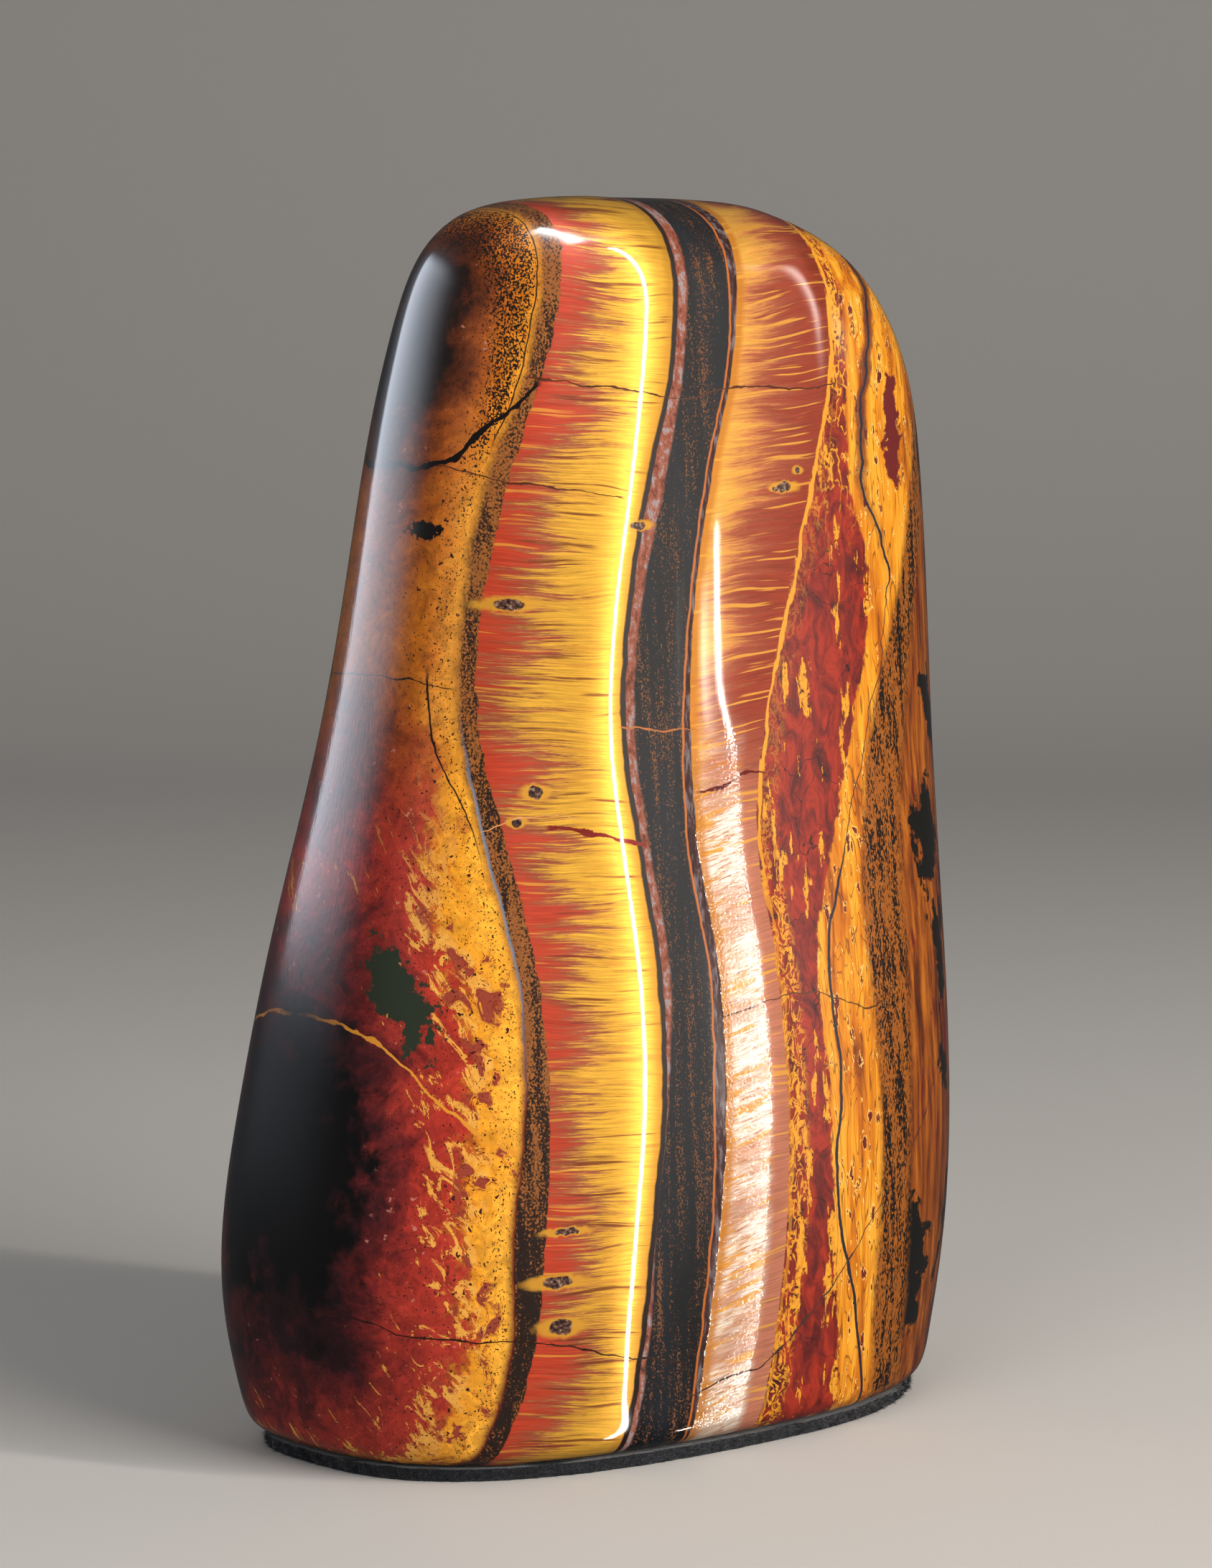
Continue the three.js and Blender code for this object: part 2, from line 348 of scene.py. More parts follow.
def stone_material():
    """Tiger iron: quartz fibre bands, hematite and jasper, cut, tumbled and polished to a wet gloss."""
    material = bpy.data.materials.new("polished_tigers_eye")
    material.use_nodes = True
    tree = material.node_tree
    add = functools.partial(add_node, tree)
    shader = tree.nodes["Principled BSDF"]

    place = add("ShaderNodeTexCoord", out="Object")
    place = add(VECTOR, {0: place, "Scale": 1 / MM}, operation="SCALE")
    x, y, z = (add("ShaderNodeSeparateXYZ", [place], out=axis) for axis in "XYZ")

    # The layers wander a little, and behind the visible face they drift apart from their front line
    behind = add(RANGE, [y, -20.0, 50.0], **SOFT)
    drift = cloud(add, place, (90.0, 120.0, 70.0), 3, detail=1.0)
    drift = add(MATH, [add(MATH, [drift, 40.0, -20.0], operation="MULTIPLY_ADD"), behind], **TIMES)
    wander = cloud(add, place, (9.0, 9.0, 7.0), 5, detail=3.0)
    wander = add(MATH, [wander, 1.6, -0.8], operation="MULTIPLY_ADD")
    layer_x = add(MATH, [add(MATH, [x, drift], operation="ADD"), wander], operation="ADD")
    height = add(MATH, [z, 1.0 / TOP_HEIGHT], **TIMES)
    past = {name: seam_distance(add, name, layer_x, height) for name in SEAMS}

    def after(name, half=0.15, ragged=0.0):
        """1 on the right of a seam, 0 on its left. A ragged seam has teeth that many mm deep."""
        distance = past[name]
        if ragged:
            teeth = cloud(add, place, (3.0, 3.0, 4.5), 7, detail=4.0, rough=0.6)
            distance = add(MATH, [teeth, 6.0 * ragged, distance], operation="MULTIPLY_ADD")
            distance = add(MATH, [distance, 3.0 * ragged], operation="SUBTRACT")
        return add(RANGE, [distance, -half, half])

    look = end_layers(add, place, z, past["end_to_speckle"])
    look = lay_over(add, look, speckle_layer(add, place, z, past), after("end_to_speckle", 1.0))
    gold = gold_band(add, place, past["speckle_to_gold"], past["gold_to_step"])
    look = lay_over(add, look, gold, after("speckle_to_gold", ragged=0.25))
    look = lay_over(add, look, step_layer(add, place, past["gold_to_step"]), after("gold_to_step", 0.25))
    look = lay_over(add, look, hematite_layer(add, place), after("step_to_hematite", 0.4))
    look = lay_over(add, look, rim_layer(add, place, past["hematite_to_rim"]), after("hematite_to_rim"))
    copper, pale = copper_band(add, place, z, past["rim_to_copper"], past["copper_to_jasper"])
    look = lay_over(add, look, copper, after("rim_to_copper"))
    look = inclusions(add, look, place, x, y, z)
    look = lay_over(add, look, jasper_layer(add, place, z, past), after("copper_to_jasper"))
    look = lay_over(add, look, ochre_layer(add, place, z, past), after("jasper_to_ochre", 0.3, ragged=0.7))
    look = lay_over(add, look, pepper_layer(add, place), after("ochre_to_pepper", 1.5, ragged=0.3))
    look = lay_over(add, look, brown_layer(add, place, past), after("pepper_to_brown", 2.0, ragged=0.4))
    tone = cracks(add, look["colour"], place)

    # Fibre shines in a line across its threads, and the other layers shine alike all round
    fibre_line = add("ShaderNodeNewGeometry", out="Normal")
    fibre_line = add(VECTOR, [fibre_line, (1.0, 0.0, 0.0)], operation="CROSS_PRODUCT")
    fibre_line = add(VECTOR, [fibre_line], operation="NORMALIZE")
    silk = add(RANGE, [look["sheen"], 0.0, 0.1, 0.0, 0.9])
    relief = add("ShaderNodeBump", {"Strength": 0.35, "Distance": 0.12 * MM, "Height": look["relief"]})

    # The last polish left faint upright strokes on the rounded end, and an orange-peel on the pale lower part
    # of the copper band, whose near-white is partly painted sheen
    strokes = cloud(add, place, (0.7, 0.7, 60.0), 91, detail=3.0)
    strokes = add(MATH, [strokes, add(RANGE, [x, -62.0, -82.0, 0.05, 0.7], **SOFT)], **TIMES)
    grains = add(MATH, [cloud(add, place, 0.8, 92, detail=1.0), add(MATH, [pale, 1.6], **TIMES)], **TIMES)
    polish = add(MATH, [strokes, grains], operation="ADD")
    polish = add("ShaderNodeBump", {"Strength": 1.0, "Distance": 0.045 * MM, "Height": polish})
    for name, socket in (
        ("Base Color", tone), ("Roughness", look["rough"]), ("Metallic", look["sheen"]),
        ("Normal", relief), ("Coat Normal", polish), ("Tangent", fibre_line), ("Anisotropic", silk),
    ):
        tree.links.new(socket, shader.inputs[name])
    # The coat is the polished skin over the fibres
    for name, value in (
        ("IOR", QUARTZ_INDEX), ("Specular IOR Level", 0.3), ("Coat Weight", 1.0),
        ("Coat IOR", QUARTZ_INDEX), ("Coat Roughness", 0.05),
    ):
        shader.inputs[name].default_value = value
    return material


def end_layers(add, place, z, past_seam):
    """The rounded left end: ochre at the seam, then broken red jasper, then a glossy black heart."""
    depth = add(MATH, [past_seam, -1.0], **TIMES)
    lumps = cloud(add, place, (15.0, 15.0, 13.0), 71, detail=8.0, rough=0.72, swirl=0.5)
    spread = add(RANGE, [z, 140.0, 185.0, 1.0, 2.4], **SOFT)
    share = add(MATH, [lumps, 34.0, add(MATH, [depth, spread], **TIMES)], operation="MULTIPLY_ADD")
    share = add(MATH, [add(MATH, [share, 17.0], operation="SUBTRACT"), 50.0], operation="DIVIDE")
    low_tone = add(RAMP, [share], stops=[
        (0.0, "#e29f30"), (0.17, "#d0861a"), (0.22, "#a4501a"), (0.27, "#a23022"), (0.4, "#93291f"),
        (0.5, "#641b1a"), (0.62, "#301318"), (0.8, "#160c10"),
    ])
    high_tone = add(RAMP, [share], stops=[
        (0.0, "#cf8a26"), (0.22, "#b4640f"), (0.38, "#8e450e"),
        (0.5, "#5e2a0e"), (0.62, "#24140d"), (0.8, "#0f0c0c"),
    ])
    high = add(RANGE, [z, 150.0, 195.0], **SOFT)
    tone = add(MIX, {0: high, 6: low_tone, 7: high_tone}, **COLOUR)
    low = add(RANGE, [z, 130.0, 180.0, 1.0, 0.0], **SOFT)
    slanted = add("ShaderNodeMapping", {"Vector": place, "Rotation": (math.radians(31.0), 0.0, 0.0)})

    # Swirls in the ochre and mottling in the red
    swirls = cloud(add, place, 5.0, 72, detail=6.0, rough=0.66, swirl=1.6)
    tone = tinted(add, tone, swirls, 0.6, 1.35)
    drops = add(RANGE, [cloud(add, place, 3.0, 73, detail=3.0, rough=0.6), 0.67, 0.71], **SOFT)
    drops = add(MATH, [drops, within(add, share, 0.3, 0.55, 0.05)], **TIMES)
    tone = add(MIX, {0: add(MATH, [drops, 0.7], **TIMES), 6: tone, 7: "#b9786a"}, **COLOUR)

    # Slanting wisps of ochre reach into the jasper, and outlined fragments of jasper float in the ochre
    wisps = cloud(add, slanted, (5.0, 2.8, 12.0), 74, detail=6.0, rough=0.7, swirl=1.0)
    reach = add(MATH, [add(MATH, [share, -0.6, 0.12], operation="MULTIPLY_ADD"), wisps], operation="ADD")
    reach = add(MATH, [add(RANGE, [reach, 0.47, 0.5], **SOFT), within(add, share, 0.18, 0.6, 0.04)], **TIMES)
    wisp_tone = add(MIX, {0: swirls, 6: "#c0741c", 7: "#e4b052"}, **COLOUR)
    tone = add(MIX, {0: add(MATH, [reach, low], **TIMES), 6: tone, 7: wisp_tone}, **COLOUR)
    shards = cloud(add, slanted, (6.0, 4.5, 8.0), 76, detail=3.0, rough=0.5, swirl=0.6)
    zone = add(MATH, [within(add, share, 0.1, 0.24, 0.06), low], **TIMES)
    inside = add(MATH, [add(RANGE, [shards, 0.57, 0.58], **SOFT), zone], **TIMES)
    tone = add(MIX, {0: inside, 6: tone, 7: "#8a3a2a"}, **COLOUR)
    for level in (0.545, 0.61):
        ring = add(MATH, [within(add, shards, level, level + 0.004, 0.007), zone], **TIMES)
        tone = add(MIX, {0: ring, 6: tone, 7: "#7c2c14"}, **COLOUR)
    dots = add(RANGE, [cloud(add, place, 1.5, 78, detail=1.0), 0.69, 0.72])
    dots = add(MATH, [dots, within(add, share, 0.0, 0.3, 0.05)], **TIMES)
    tone = add(MIX, {0: dots, 6: tone, 7: "#3a1710"}, **COLOUR)

    # The knob is peppered near the seam, the middle holds a green-black patch, and ochre rings the foot
    grains = cloud(add, place, (0.5, 0.5, 0.6), 79, detail=1.0, rough=0.6)
    limit = add(RANGE, [z, 245.0, 300.0, 4.0, 12.0])
    crowd = add(RANGE, [add(MATH, [depth, limit], operation="SUBTRACT"), -2.5, 2.0, 1.0, 0.0], **SOFT)
    crowd = add(MATH, [crowd, add(RANGE, [depth, 0.4, 2.2])], **TIMES)
    crowd = add(MATH, [crowd, add(RANGE, [z, 225.0, 262.0, 0.3, 1.0], **SOFT)], **TIMES)
    crowd = add(MATH, [crowd, 0.2, grains], operation="MULTIPLY_ADD")
    tone = add(MIX, {0: add(RANGE, [crowd, 0.65, 0.71]), 6: tone, 7: "#1c130d"}, **COLOUR)
    heart = near(add, place, (-101.0, 8.0, 78.0), (14.0, 30.0, 38.0), 1.5, 70, 14.0)
    heart = add(RANGE, [heart, 0.7, 1.25, 1.0, 0.0], **SOFT)
    tone = add(MIX, {0: heart, 6: tone, 7: "#0b090a"}, **COLOUR)
    patch = near(add, slanted, (-86.0, -78.4, 90.4), (8.0, 5.0, 17.0), 1.7, 75)
    tone = add(MIX, {0: add(RANGE, [patch, 0.9, 1.0, 1.0, 0.0]), 6: tone, 7: "#262e22"}, **COLOUR)
    foot = add(MATH, [swirls, 16.0, z], operation="MULTIPLY_ADD")
    foot = add(RANGE, [foot, 11.0, 15.0, 1.0, 0.0], **SOFT)
    tone = add(MIX, {0: foot, 6: tone, 7: "#8a4a10"}, **COLOUR)
    swerve = add(MATH, [within(add, z, 180.0, 196.0, 28.0), 3.4, 0.8], operation="MULTIPLY_ADD")
    crack = line_mask(add, add(MATH, [depth, swerve], operation="SUBTRACT"), 0.08, 0.16)
    crack = add(MATH, [crack, add(RANGE, [within(add, z, 198.0, 246.0, 6.0), 0.0, 1.0, 1.0, 0.0])], **TIMES)
    crack = add(MATH, [crack, add(RANGE, [z, 145.0, 160.0], **SOFT)], **TIMES)
    smudge = near(add, place, (-70.0, -11.0, 228.5), (3.5, 5.0, 2.2), 1.3, 83, 3.0)
    tone = add(MIX, {0: add(RANGE, [smudge, 0.9, 1.0, 1.0, 0.0]), 6: tone, 7: "#120c0a"}, **COLOUR)
    tone = add(MIX, {0: crack, 6: tone, 7: "#1a0f0a"}, **COLOUR)
    return finish(tone, 0.35)


def speckle_layer(add, place, z, past):
    """Gritty selvage beside the gold: dark grains, about half a millimetre, packed in ochre-brown."""
    grains = cloud(add, place, (0.5, 0.5, 0.6), 11, detail=2.0, rough=0.6)
    drifts = cloud(add, place, (2.2, 8.0, 22.0), 12, detail=3.0)
    low = add(RANGE, [z, 50.0, 100.0, 0.14, 0.0], **SOFT)
    amount = add(MATH, [drifts, 0.6, grains], operation="MULTIPLY_ADD")
    amount = add(MATH, [amount, low], operation="ADD")
    base = add(MIX, {0: drifts, 6: "#6a4020", 7: "#aa662a"}, **COLOUR)
    look = lay_over(add, finish(base, 0.38), finish("#251b17", 0.3), add(RANGE, [amount, 0.72, 0.88], **SOFT))
    line = add(MIX, {0: add(RANGE, [z, 90.0, 130.0]), 6: "#571712", 7: "#5f6a7c"}, **COLOUR)
    edge = line_mask(add, add(MATH, [past["end_to_speckle"], 0.8], operation="SUBTRACT"), 0.22, 0.25)
    edge = add(MATH, [edge, add(RANGE, [z, 165.0, 185.0, 1.0, 0.0])], **TIMES)
    return lay_over(add, look, finish(line, 0.3), edge)


def step_layer(add, place, past_seam):
    """Reddish selvage between fibre and hematite, broken in small steps, with grey glints."""
    steps = cloud(add, place, (2.4, 9.0, 3.6), 31, detail=5.0, rough=0.75)
    tone = add(RAMP, [steps], stops=[
        (0.34, "#35201e"), (0.44, "#7c3f2c"), (0.54, "#8f5846"),
        (0.6, "#8b8b92"), (0.68, "#a05a38"), (0.76, "#4a2a24"),
    ])
    edge = line_mask(add, add(MATH, [past_seam, 0.7], operation="SUBTRACT"), 0.75, 0.35)
    return lay_over(add, finish(tone, 0.4, 0.1, steps), finish("#1e100c", 0.4), edge)


def hematite_layer(add, place):
    """Black hematite: a dull steel sheen with bronze specks strung along the layer."""
    specks = cloud(add, place, (0.42, 0.42, 0.6), 35, detail=1.0)
    strings = cloud(add, place, (2.2, 9.0, 34.0), 36, detail=3.0)
    amount = add(MATH, [strings, 0.75, specks], operation="MULTIPLY_ADD")
    mask = add(RANGE, [amount, 0.98, 1.06, 0.0, 0.9], **SOFT)
    haze = cloud(add, place, (10.0, 10.0, 60.0), 37, detail=2.0)
    steel = add(RAMP, [haze], stops=[(0.35, "#08090c"), (0.65, "#11161d")])
    return lay_over(add, finish(steel, 0.45), finish("#6e4524", 0.4, 0.1), mask)


def rim_layer(add, place, past_seam):
    """The hematite's right rim: a thin orange line, then dark wine-red quartz."""
    glints = cloud(add, place, (1.2, 1.2, 6.0), 38, detail=4.0, rough=0.7)
    wine = add(RAMP, [glints], stops=[(0.35, "#1d0f10"), (0.5, "#3f2220"), (0.62, "#6c6468")])
    line = line_mask(add, past_seam, 0.45, 0.35)
    return lay_over(add, finish(wine, 0.4, 0.1, glints), finish("#a85a1a", 0.4), line)


def inclusions(add, look, place, x, y, z):
    """Small brown grains caught in the fibre bands, each in a golden halo."""
    flat = add("ShaderNodeCombineXYZ", [x, 0.0, z])
    flat = warped(add, flat, 33, 2.4, 0.9)
    front = add(RANGE, [y, -12.0, -8.0, 1.0, 0.0])
    halo = grain = None
    for spot_x, spot_z, half_x, half_z in INCLUSIONS:
        away = near(add, flat, (spot_x, 0.0, spot_z), (half_x, 1.0, half_z))
        stretched = near(add, flat, (spot_x, 0.0, spot_z), (2.6 * half_x, 1.0, 1.5 * half_z))
        halo = stretched if halo is None else add(MATH, [halo, stretched], operation="MINIMUM")
        grain = away if grain is None else add(MATH, [grain, away], operation="MINIMUM")
    halo = add(MATH, [front, add(RANGE, [halo, 0.6, 1.0, 0.9, 0.0], **SOFT)], **TIMES)
    look = lay_over(add, look, finish("#cf952f", 0.34, 0.3), halo)
    crumbs = cloud(add, place, 0.9, 34, detail=2.0)
    crumbs = add(RAMP, [crumbs], stops=[(0.4, "#1f1210"), (0.55, "#5a3a30"), (0.66, "#84705e")])
    grain = add(MATH, [front, add(RANGE, [grain, 0.85, 1.0, 1.0, 0.0])], **TIMES)
    return lay_over(add, look, finish(crumbs, 0.4), grain)


def jasper_layer(add, place, z, past):
    """Brick red jasper, clouded, crazed with dark hairlines and patched with ochre."""
    clouds = cloud(add, place, (5.5, 5.5, 11.0), 51, detail=8.0, rough=0.72, swirl=1.0)
    tone = add(RAMP, [clouds], stops=[
        (0.32, "#2e1012"), (0.43, "#5c1916"), (0.52, "#7e2216"), (0.6, "#992c18"), (0.7, "#5e1b1e"),
    ])
    bent = warped(add, place, 52, 12.0, 7.0)
    crazing = add(CELLS, {"Vector": bent, "Scale": 1 / 30.0}, feature="DISTANCE_TO_EDGE")
    tone = add(MIX, {0: line_mask(add, crazing, 0.0015, 0.0035), 6: tone, 7: "#2a0f0c"}, **COLOUR)

    # Upright ochre patches, pocked with black, and a strip of knotted ochre along the copper band
    patches = cloud(add, place, (4.2, 4.2, 17.0), 53, detail=5.0, rough=0.62)
    high = add(RANGE, [z, 225.0, 275.0, 0.0, 0.07], **SOFT)
    patches = add(RANGE, [add(MATH, [patches, high], operation="ADD"), 0.588, 0.6], **SOFT)
    knots = cloud(add, place, (4.0, 4.0, 6.0), 57, detail=4.0, rough=0.6, swirl=1.5)
    knots = within(add, knots, 0.47, 0.53, 0.015)
    strip = within(add, past["copper_to_jasper"], 0.5, 5.0, 3.5)
    strip = add(MATH, [strip, add(RANGE, [z, 130.0, 170.0, 0.95, 0.25], **SOFT)], **TIMES)
    knots = add(MATH, [knots, strip], **TIMES)
    net = cloud(add, place, (5.0, 5.0, 9.0), 63, detail=3.0, rough=0.55)
    net = add(MATH, [within(add, net, 0.485, 0.515, 0.012), add(RANGE, [z, 215.0, 250.0], **SOFT)], **TIMES)
    knots = add(MATH, [knots, net], operation="MAXIMUM")
    pocks = cloud(add, place, 1.1, 58, detail=2.0)
    yellow = add(RAMP, [pocks], stops=[(0.34, "#3a1a0c"), (0.4, "#c17c17"), (0.6, "#d39429")])
    spread = add(MATH, [patches, knots], operation="MAXIMUM")
    tone = add(MIX, {0: spread, 6: tone, 7: yellow}, **COLOUR)

    # Wavy yellow selvage where the jasper meets the copper band
    wavy = cloud(add, place, (4.0, 4.0, 11.0), 54, detail=3.0)
    rim = add(MATH, [past["copper_to_jasper"], 1.6], operation="ADD")
    rim = add(MATH, [wavy, -5.0, rim], operation="MULTIPLY_ADD")
    rim = add(MATH, [line_mask(add, rim, 0.5, 0.4), add(RANGE, [z, 120.0, 160.0, 0.4, 1.0])], **TIMES)
    tone = add(MIX, {0: rim, 6: tone, 7: "#cf8c24"}, **COLOUR)
    return finish(tone, 0.35, 0.0, clouds)


def ochre_layer(add, place, z, past):
    """Yellow ochre jasper with bands along the layer, a dark blue vein and small red fragments."""
    flow = cloud(add, place, (4.0, 4.0, 42.0), 55, detail=4.0, rough=0.6, swirl=0.4)
    tone = add(RAMP, [flow], stops=[
        (0.3, "#7e3c0c"), (0.4, "#b3620e"), (0.5, "#cb7f13"), (0.6, "#e09c2a"), (0.72, "#c67c16"),
    ])
    thin = cloud(add, place, (6.0, 6.0, 60.0), 59, detail=2.0)
    thin = add(MATH, [add(MATH, [thin, 14.0], **TIMES)], operation="FRACT")
    thin = line_mask(add, add(MATH, [thin, 0.5], operation="SUBTRACT"), 0.03, 0.06)
    tone = add(MIX, {0: add(MATH, [thin, 0.7], **TIMES), 6: tone, 7: "#5c2c0c"}, **COLOUR)
    fragments = cloud(add, place, (2.4, 2.4, 7.0), 56, detail=4.0, rough=0.6)
    ring = within(add, fragments, 0.605, 0.618, 0.008)
    tone = add(MIX, {0: ring, 6: tone, 7: "#e8bd66"}, **COLOUR)
    red = add(RANGE, [fragments, 0.628, 0.64], **SOFT)
    tone = add(MIX, {0: red, 6: tone, 7: "#5e1c18"}, **COLOUR)

    # The blue vein swings from side to side above, and has a maroon skin there
    swing = cloud(add, place, (40.0, 40.0, 16.0), 60, detail=4.0)
    swing = add(MATH, [swing, 12.0, -6.0], operation="MULTIPLY_ADD")
    swing = add(MATH, [swing, add(RANGE, [z, 120.0, 200.0, 0.2, 1.0])], **TIMES)
    vein = add(MATH, [past["blue_vein"], swing], operation="ADD")
    high = add(RANGE, [z, 200.0, 260.0], **SOFT)
    skin = add(MATH, [line_mask(add, vein, 1.2, 1.8), add(MATH, [high, 0.85], **TIMES)], **TIMES)
    tone = add(MIX, {0: skin, 6: tone, 7: "#521c18"}, **COLOUR)
    thickness = add(RANGE, [within(add, z, 150.0, 205.0, 15.0), 0.0, 1.0, 3.0, 1.0])
    vein = line_mask(add, add(MATH, [vein, thickness], operation="DIVIDE"), 0.12, 0.1)
    tone = add(MIX, {0: vein, 6: tone, 7: "#20212b"}, **COLOUR)
    patch = near(add, place, (66.0, -34.0, 249.0), (4.0, 12.0, 17.0), 1.6, 77, 5.0)
    tone = add(MIX, {0: add(RANGE, [patch, 0.8, 1.0, 1.0, 0.0]), 6: tone, 7: "#601d1c"}, **COLOUR)
    return finish(tone, 0.35, 0.0, flow)


def pepper_layer(add, place):
    """Ochre packed with upright black flecks."""
    flecks = cloud(add, place, (0.5, 0.5, 1.2), 61, detail=2.0, rough=0.6)
    drifts = cloud(add, place, (1.8, 1.8, 30.0), 62, detail=3.0)
    amount = add(MATH, [drifts, 0.7, flecks], operation="MULTIPLY_ADD")
    base = add(MIX, {0: drifts, 6: "#784012", 7: "#a9621a"}, **COLOUR)
    return lay_over(add, finish(base, 0.38), finish("#17120f", 0.3), add(RANGE, [amount, 0.81, 0.9], **SOFT))


def brown_layer(add, place, past):
    """The right end: streaky burnt ochre with black iron patches and a wine-red skin; their spread towards the
    right edge is painted shade.
    """
    streaks = cloud(add, place, (2.2, 2.2, 34.0), 65, detail=6.0, rough=0.68)
    tone = add(RAMP, [streaks], stops=[
        (0.32, "#27130b"), (0.42, "#5c2a0c"), (0.54, "#8a4610"), (0.66, "#ad6517"),
    ])
    wine = cloud(add, place, (4.0, 4.0, 30.0), 67, detail=5.0, rough=0.6)
    # Painted shade: the farther right of the seam, the more wine-red and black there is, darkening the end as
    # it turns from the light
    painted_shade_far_right = add(RANGE, [past["pepper_to_brown"], 4.0, 30.0, 0.0, 0.1])
    wine = add(RANGE, [add(MATH, [wine, painted_shade_far_right], operation="ADD"), 0.6, 0.66], **SOFT)
    tone = add(MIX, {0: wine, 6: tone, 7: "#5e1a14"}, **COLOUR)
    patches = cloud(add, place, (14.0, 14.0, 24.0), 66, detail=6.0, rough=0.66)
    patches = add(RANGE, [add(MATH, [patches, painted_shade_far_right], operation="ADD"), 0.62, 0.635], **SOFT)
    low_patch = near(add, place, (59.0, -49.0, 37.0), (9.0, 20.0, 19.0), 1.4, 68)
    high_patch = near(add, place, (75.0, -38.0, 147.0), (7.0, 20.0, 14.0), 1.4, 69)
    for blob in (low_patch, high_patch):
        patches = add(MATH, [patches, add(RANGE, [blob, 0.9, 1.0, 1.0, 0.0])], operation="MAXIMUM")
    return lay_over(add, finish(tone, 0.38, 0.0, streaks), finish("#14120e", 0.3), patches)


def cracks(add, tone, place):
    """Healed fractures that cross the layers, each drawn by its height along X."""
    wavy = warped(add, place, 81, 7.0, 1.3)
    width = add(RANGE, [cloud(add, place, 5.0, 82, detail=3.0), 0.35, 0.65, 0.6, 1.9])
    x = add("ShaderNodeSeparateXYZ", [wavy])
    z = add("ShaderNodeSeparateXYZ", [wavy], out="Z")
    along = add(RANGE, [x, -1.0 * SEAM_REACH, 1.0 * SEAM_REACH])
    for half_width, colour, points in CRACKS.values():
        curve = [((px + SEAM_REACH) / (2 * SEAM_REACH), pz / TOP_HEIGHT) for px, pz in points]
        line = add("ShaderNodeFloatCurve", [1.0, along], curve=curve)
        distance = add(MATH, [line, -1.0 * TOP_HEIGHT, z], operation="MULTIPLY_ADD")
        distance = add(MATH, [distance, width], **TIMES)
        reach = within(add, x, points[0][0], points[-1][0], 2.0)
        mask = add(MATH, [line_mask(add, distance, half_width, 0.15), reach], **TIMES)
        tone = add(MIX, {0: mask, 6: tone, 7: colour}, **COLOUR)
    return tone


def felt_material():
    """Black wool felt: matt, matted fibres that catch a little light."""
    material = bpy.data.materials.new("black_wool_felt")
    material.use_nodes = True
    tree = material.node_tree
    add = functools.partial(add_node, tree)
    shader = tree.nodes["Principled BSDF"]
    place = add("ShaderNodeTexCoord", out="Object")
    place = add(VECTOR, {0: place, "Scale": 1 / MM}, operation="SCALE")
    lint = cloud(add, place, (0.9, 0.9, 0.5), 1, detail=4.0, rough=0.7)
    tone = add(RAMP, [lint], stops=[(0.35, "#0c0e12"), (0.55, "#1b1e24"), (0.72, "#3a3e46")])
    bump = add("ShaderNodeBump", {"Strength": 0.8, "Distance": 0.4 * MM, "Height": lint})
    tree.links.new(tone, shader.inputs["Base Color"])
    tree.links.new(bump, shader.inputs["Normal"])
    shader.inputs["Roughness"].default_value = 0.95
    shader.inputs["Specular IOR Level"].default_value = 0.2
    shader.inputs["Sheen Weight"].default_value = 0.3
    shader.inputs["Sheen Roughness"].default_value = 0.5
    return material


def deselect_all():
    for item in bpy.context.selected_objects:
        item.select_set(False)


def edit_whole_mesh(operator, **settings):
    """Runs one edit-mode operator on every part of the active mesh."""
    bpy.ops.object.mode_set(mode="EDIT")
    bpy.ops.mesh.select_all(action="SELECT")
    operator(**settings)
    bpy.ops.object.mode_set(mode="OBJECT")


def make_active(piece):
    deselect_all()
    piece.select_set(True)
    bpy.context.view_layer.objects.active = piece


def copy_of_node(node, name):
    """A copy of a CAD node's mesh as a piece of its own, with its loose triangles merged."""
    piece = frame["nodes"][node].copy()
    piece.data = piece.data.copy()
    piece.name = name
    piece.parent = None
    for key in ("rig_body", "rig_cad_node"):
        if key in piece:
            del piece[key]
    bpy.context.scene.collection.objects.link(piece)
    make_active(piece)
    edit_whole_mesh(bpy.ops.mesh.remove_doubles, threshold=0.00001)
    edit_whole_mesh(bpy.ops.mesh.normals_make_consistent, inside=False)
    return piece


def apply_modifier(piece, kind, name, **settings):
    modifier = piece.modifiers.new(name, kind)
    for key, value in settings.items():
        setattr(modifier, key, value)
    bpy.ops.object.modifier_apply(modifier=modifier.name)


def smooth_step(values, low, high):
    share = np.clip((values - low) / (high - low), 0, 1)
    return share * share * (3 - 2 * share)


def smooth_line(values, heights):
    """A smooth curve through values given at the seam heights."""
    knots = np.array(SEAM_HEIGHTS, float)
    values = np.array(values, float)
    slopes = np.gradient(values, knots)
    cell = np.clip(np.searchsorted(knots, heights) - 1, 0, len(knots) - 2)
    span = knots[cell + 1] - knots[cell]
    t = np.clip((heights - knots[cell]) / span, 0, 1)
    start = (1 + 2 * t) * (1 - t) ** 2 * values[cell] + t * (1 - t) ** 2 * span * slopes[cell]
    return start + t * t * (3 - 2 * t) * values[cell + 1] - t * t * (1 - t) * span * slopes[cell + 1]


def ridge(x, centre, left, right):
    """A low hump: 1 on its line, 0 past its left and right reach."""
    away = x - centre
    away = np.clip(np.where(away < 0, away / left, away / right), -1, 1)
    return 0.5 + 0.5 * np.cos(math.pi * away)


